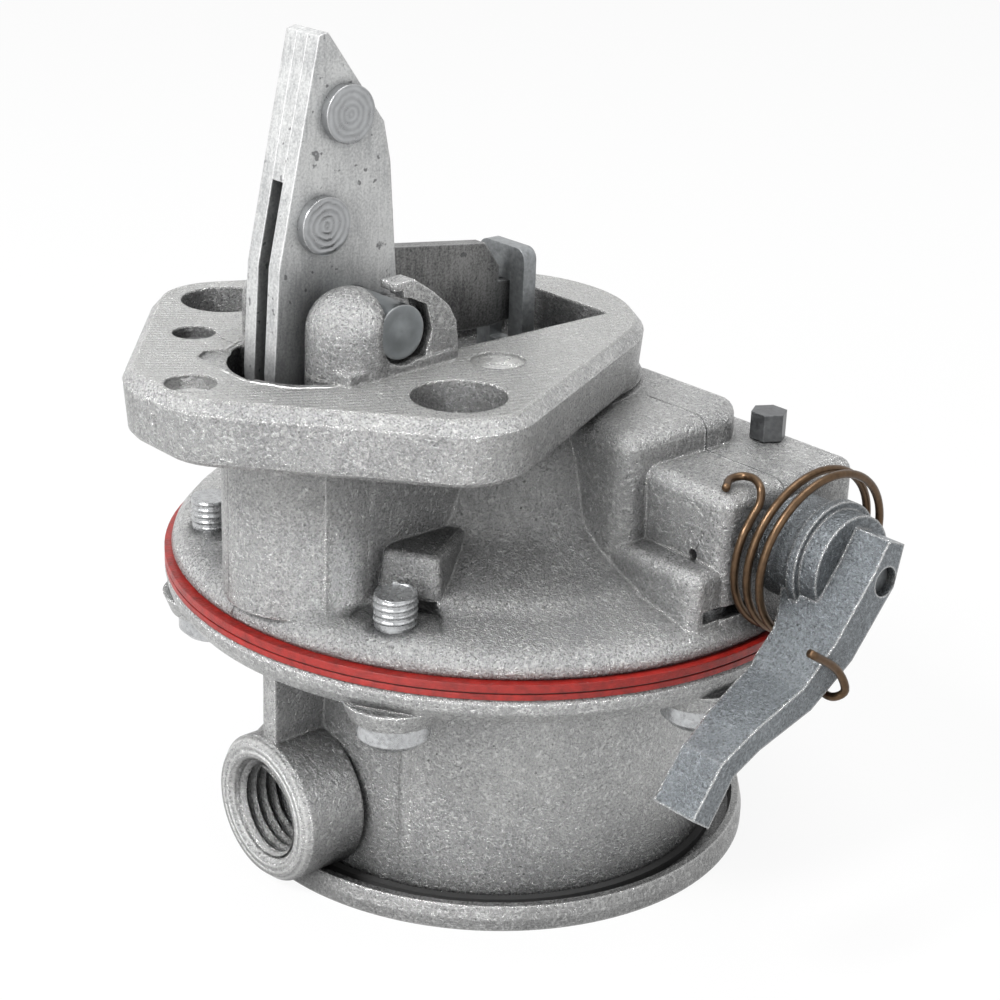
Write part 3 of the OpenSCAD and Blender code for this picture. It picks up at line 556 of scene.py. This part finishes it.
# %% Corners of the opening, and the lip under the flange
NEAR_BOSS, NEAR_NOSE_R = (8.5, -31.2), 5.12
CORNER = [(3.3, -36.4), (8.5, -36.4), *around(NEAR_BOSS, NEAR_NOSE_R, [a / 360 for a in range(268, 179, -8)]),
          (3.3, -31.2)]
FAR_WALL = [(-6.1, -36.4), (-3.2, -36.4), (-3.2, -31.0), (-6.1, -31.0)]
LIP_TURNS = [a / 360 for a in range(-14, 100, 6)]
LIP = around((0, 0), 18.4, LIP_TURNS) + around((0, 0), 16.2, LIP_TURNS[::-1])
for name, outline, low, high in (
        ("corner", CORNER, 65.0, 71.5), ("far wall", FAR_WALL, 65.0, 71.5),
        ("lip", LIP, FLANGE_LOW - 0.58, FLANGE_LOW - 0.02)):
    carve(casting, prism(name, outline, low, high))
print("opening and lip", len(casting.data.polygons), "faces")

# %% [markdown]
# The band is a closed ring that fills the CAD flange's taper. Its section is a list of how far each
# corner is drawn in from the flange's outline, and its height.

# %% Upright flange wall, notch and crescent
FLANGE_CORNERS = [(0, -3, 19.5), (22.5, -26.8, 9.2), (3, -43.5, 9), (-3, -43.5, 9), (-22.5, -26.8, 9.2)]
BAND = [(3.0, FLANGE_LOW + 0.01), (1.0, FLANGE_LOW + 0.01), (0.5, FLANGE_LOW + 0.6), (0.04, FLANGE_TOP),
        (3.0, FLANGE_TOP - 0.3)]
NOTCH = [(1.0, 61.0), (1.0, 65.6), (0.4, 66.3)]
CRESCENT = [(-5.7, -42.3), (-4.2, -42.5), (-1.8, -42.4), (2.4, -42.9), (5.0, -42.7), (4.9, -41.2),
            (0.0, -41.0), (-5.2, -38.0), (-6.6, -38.9), (-7.1, -40.3)]


def flange_ring(shrink, height, steps=120):
    """The flange's outline at a height, drawn in by the shrink."""
    ring = []
    for turn in even(steps):
        ahead = (math.cos(math.tau * turn), math.sin(math.tau * turn))
        x, y, radius = max(FLANGE_CORNERS, key=lambda c: c[0] * ahead[0] + c[1] * ahead[1] + c[2])
        ring.append((x + (radius - shrink) * ahead[0], y + (radius - shrink) * ahead[1], height))
    return ring


def closed_band(rings):
    """A ring-shaped solid: the last ring joins the first."""
    sides = len(rings[0])
    faces = []
    for i in range(len(rings)):
        low, high = i * sides, (i + 1) % len(rings) * sides
        faces += [(low + k, low + (k + 1) % sides, high + (k + 1) % sides, high + k) for k in range(sides)]
    return mesh_object("band", [point for ring in rings for point in ring], faces)


carve(casting, closed_band([flange_ring(shrink, height) for shrink, height in BAND]), "UNION")
carve(casting, round_post("notch", (0.5, -53.0), NOTCH, 16))
carve(casting, prism("crescent", CRESCENT, FACE_Z - 0.35, FACE_Z + 0.3))
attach(casting, "housing")
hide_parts("upper_housing")
print("upper casting", len(casting.data.polygons), "faces")

# %% [markdown]
# The rod's window ends lower than in the CAD solid, so a small block closes its top.

# %% Top of the rod's window
WINDOW_HALF, HEAD_HALF, PLUG_LOW, PLUG_HIGH = 1.69, 0.98, 73.15, 74.35
plug_outline = [(x * WINDOW_HALF, y * HEAD_HALF) for x, y in ((-1, -1), (1, -1), (1, 1), (-1, 1))]
plug = prism("rod_window_top", plug_outline, PLUG_LOW, PLUG_HIGH)
plug.data.materials.append(rod_steel.material)
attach(plug, "rod")
print("window top", len(plug.data.polygons), "faces")

# %% [markdown]
# The torsion spring is bronze-brown wire. It hooks over the edge of the block, makes two and a half
# turns that lean together at the bottom, and ends in a hook round the hand lever.

# %% Torsion spring
PRIMER_Y, PRIMER_Z, SPRING_R, WIRE_R = 9.0, 49.0, 10.2, 0.5
BLOCK_FACE, LEVER_OUT = 41, 15


def spring_turn(degrees):
    """A point of the wound part, whose turns lean together at the bottom."""
    share = (degrees - 150) / 840
    lean = 0.08 * math.cos(math.radians(degrees - 60))
    out = BLOCK_FACE + LEVER_OUT * (0.11 + 0.305 * share + lean)
    angle = math.radians(degrees)
    return (out, PRIMER_Y + SPRING_R * math.cos(angle), PRIMER_Z + SPRING_R * math.sin(angle))


spring_knots = [(39.3, -0.5, 57.35), (38.1, 1.4, 57.6), (38.5, 3.0, 57.8), (40.2, 3.3, 57.9),
                (41.9, 2.6, 57.3), (42.3, 2.1, 55.8), (42.3, 1.1, 54.5)]
spring_knots += [spring_turn(angle) for angle in range(160, 986, 15)]
spring_knots += [(49.5, 6.0, 36.9), (52.5, 3.4, 36.0), (55.5, 2.0, 36.4), (57.05, 2.3, 37.8),
                 (56.95, 0.4, 41.0), (56.75, -4.2, 44.2)]
spring_path = smooth_path([Vector(knot) * MM for knot in spring_knots], 5)
spring_skin = loft(wire_rings(spring_path, WIRE_R * MM))
torsion = piece("torsion_spring", *spring_skin, bronze_wire, "housing", "bronze_wire")
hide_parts("primer_spring")
print("torsion spring", len(torsion.data.polygons), "faces")

# %% [markdown]
# Each port is threaded. The CAD bore is a plain hole, so a ridge that winds along it stands for the
# crests of the thread. It fades out at both ends, as a tap leaves it.


# %% Threads
def thread(radius, height, pitch, start, turns, steps=40, inward=True):
    """A ridge along a helix round Z, as rings of three points."""
    rings = []
    total = int(turns * steps)
    for i in range(total + 1):
        angle = math.tau * i / steps
        fade = min(1, i / steps * 1.5 + 0.02, (total - i) / steps * 1.5 + 0.02)
        crest = radius - height * fade if inward else radius + height * fade
        root = radius + 0.03 * (1 if inward else -1)
        rise = start + pitch * i / steps
        corners = [(root, rise - pitch * 0.44), (crest, rise), (root, rise + pitch * 0.44)]
        rings.append([Vector((r * math.cos(angle), r * math.sin(angle), z)) * MM
                      for r, z in (corners if inward else reversed(corners))])
    return rings


BORE_R, THREAD_PITCH, THREAD_DEPTH, PORT_INSIDE = 6.2, 1.5, 0.62, 27.6
port_thread = thread(BORE_R, THREAD_DEPTH, THREAD_PITCH, 0, 6.5)
for name, turn in (("inlet_thread", -90), ("outlet_thread", 150)):
    shift = Matrix.Translation(Vector((PORT_INSIDE, 0, PORT_Z)) * MM)
    place = Matrix.Rotation(math.radians(turn), 4, "Z") @ shift @ Matrix.Rotation(math.radians(90), 4, "Y")
    rings = [[place @ point for point in ring] for ring in port_thread]
    piece(name, *loft(rings), lower_cast, "housing", "cast_lower", smooth=False)
print("port threads", 2)

# %% [markdown]
# The six joint screws are the same, so one thread is modelled and a Geometry Nodes tree sets a copy
# at each point of the screw circle.


# %% Copies round the axis
def round_the_axis(shape, count, radius, finish):
    """Copies of the shape round Z, turned with the circle, as one plain mesh."""
    tree = bpy.data.node_groups.new("round the axis", "GeometryNodeTree")
    for label, kind in (("Geometry", "NodeSocketGeometry"), ("Count", "NodeSocketInt"),
                        ("Radius", "NodeSocketFloat")):
        tree.interface.new_socket(label, in_out="INPUT", socket_type=kind)
    tree.interface.new_socket("Geometry", in_out="OUTPUT", socket_type="NodeSocketGeometry")
    kinds = ("NodeGroupInput", "GeometryNodeMeshCircle", "GeometryNodeInputIndex", "ShaderNodeMath",
             "ShaderNodeMath", "ShaderNodeCombineXYZ", "GeometryNodeInstanceOnPoints",
             "GeometryNodeRealizeInstances", "GeometryNodeSetMaterial", "NodeGroupOutput")
    start, circle, index, part, angle, turn, copies, real, paint, end = map(tree.nodes.new, kinds)
    part.operation, angle.operation = "DIVIDE", "MULTIPLY"
    angle.inputs[1].default_value = math.tau
    paint.inputs["Material"].default_value = finish.material
    for source, target in (
            (start.outputs["Count"], circle.inputs["Vertices"]),
            (start.outputs["Radius"], circle.inputs["Radius"]),
            (index.outputs[0], part.inputs[0]), (start.outputs["Count"], part.inputs[1]),
            (part.outputs[0], angle.inputs[0]), (angle.outputs[0], turn.inputs["Z"]),
            (circle.outputs[0], copies.inputs["Points"]),
            (start.outputs["Geometry"], copies.inputs["Instance"]),
            (turn.outputs[0], copies.inputs["Rotation"]), (copies.outputs[0], real.inputs[0]),
            (real.outputs[0], paint.inputs[0]), (paint.outputs[0], end.inputs[0])):
        tree.links.new(source, target)
    modifier = shape.modifiers.new("copies", "NODES")
    modifier.node_group = tree
    sockets = {item.name: item.identifier for item in tree.interface.items_tree if item.in_out == "INPUT"}
    modifier[sockets["Count"]] = count
    modifier[sockets["Radius"]] = radius
    evaluated = shape.evaluated_get(bpy.context.evaluated_depsgraph_get())
    mesh = bpy.data.meshes.new_from_object(evaluated)
    shape.modifiers.clear()
    shape.data = mesh
    return shape


# %% Threads of the joint screws
SCREW_R, SCREW_CIRCLE, SCREW_COUNT = 2.5, 37.0, 6
SCREW_PITCH, SCREW_DEPTH, SCREW_START, SCREW_TURNS = 0.8, 0.12, 41.6, 4.6
screw_rings = thread(SCREW_R, SCREW_DEPTH, SCREW_PITCH, SCREW_START, SCREW_TURNS, 24, inward=False)
screw_thread = bare_piece("screw_threads", *loft(screw_rings), plated_steel)
round_the_axis(screw_thread, SCREW_COUNT, SCREW_CIRCLE * MM, plated_steel)
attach(screw_thread, "housing")
print("screw threads", len(screw_thread.data.polygons), "faces")

# %% [markdown]
# ## Setting
#
# A pale floor, a small key lamp from the upper left, a wide one overhead, two weak ones from the
# front and the right, and an even sky. The sky and the floor look white to the camera, while the
# object gets light at a plain level.

# %% Rays that show the backdrop
def seen_directly(tree):
    """A socket that is 1 for rays from the camera, from metal and through glass."""
    rays = tree.nodes.new("ShaderNodeLightPath")
    direct = rays.outputs["Is Camera Ray"]
    for kind in ("Is Glossy Ray", "Is Transmission Ray"):
        either = tree.nodes.new("ShaderNodeMath")
        either.operation = "MAXIMUM"
        tree.links.new(direct, either.inputs[0])
        tree.links.new(rays.outputs[kind], either.inputs[1])
        direct = either.outputs[0]
    return direct


# %% Floor
floor_mesh = bpy.data.meshes.new("floor")
floor_mesh.from_pydata([(-4, -4, 0), (4, -4, 0), (4, 4, 0), (-4, 4, 0)], [], [(0, 1, 2, 3)])
floor = bpy.data.objects.new("floor", floor_mesh)
bpy.context.scene.collection.objects.link(floor)
pale = Finish("pale floor", roughness=0.9)
pale.set(base_color=(0.9, 0.9, 0.9))
glow = pale.node("ShaderNodeEmission", {}, {"Color": (1, 1, 1, 1)})
seen = seen_directly(pale.tree)
either = pale.node("ShaderNodeMixShader", {}, {0: Value(pale, seen) * 0.92, 1: pale.shader.outputs[0],
                                              2: glow.outputs[0]})
pale.tree.links.new(either.outputs[0], pale.tree.nodes["Material Output"].inputs["Surface"])
floor_mesh.materials.append(pale.material)

# %% Sky
world = bpy.data.worlds.new("sky")
bpy.context.scene.world = world
world.use_nodes = True
sky = world.node_tree
sky.nodes.clear()
plain, white = (sky.nodes.new("ShaderNodeBackground") for _ in range(2))
either = sky.nodes.new("ShaderNodeMixShader")
plain.inputs["Color"].default_value = (0.80, 0.81, 0.82, 1)
plain.inputs["Strength"].default_value = 0.15
white.inputs["Color"].default_value = (1, 1, 1, 1)
last = sky.nodes.new("ShaderNodeOutputWorld")
sky.links.new(seen_directly(sky), either.inputs[0])
sky.links.new(plain.outputs[0], either.inputs[1])
sky.links.new(white.outputs[0], either.inputs[2])
sky.links.new(either.outputs[0], last.inputs[0])


# %% Lamps
def softbox(name, place, aim, size, watts):
    """A square area lamp, turned towards a point."""
    lamp = bpy.data.objects.new(name, bpy.data.lights.new(name, "AREA"))
    lamp.data.shape, lamp.data.size, lamp.data.energy = "SQUARE", size, watts
    lamp.location = place
    lamp.rotation_euler = (Vector(aim) - Vector(place)).to_track_quat("-Z", "Y").to_euler()
    bpy.context.scene.collection.objects.link(lamp)


MIDDLE = (0, 0, 0.05)
softbox("key", (-0.02, -0.60, 0.60), MIDDLE, 0.20, 7.2)
softbox("top", (-0.05, 0.05, 0.90), MIDDLE, 0.50, 4.5)
softbox("front", (0.30, -0.78, 0.16), MIDDLE, 0.30, 2.0)
softbox("right", (0.72, -0.25, 0.30), MIDDLE, 0.35, 0.7)
scene = bpy.context.scene
scene.view_settings.view_transform = "Standard"
print("lamps 4")
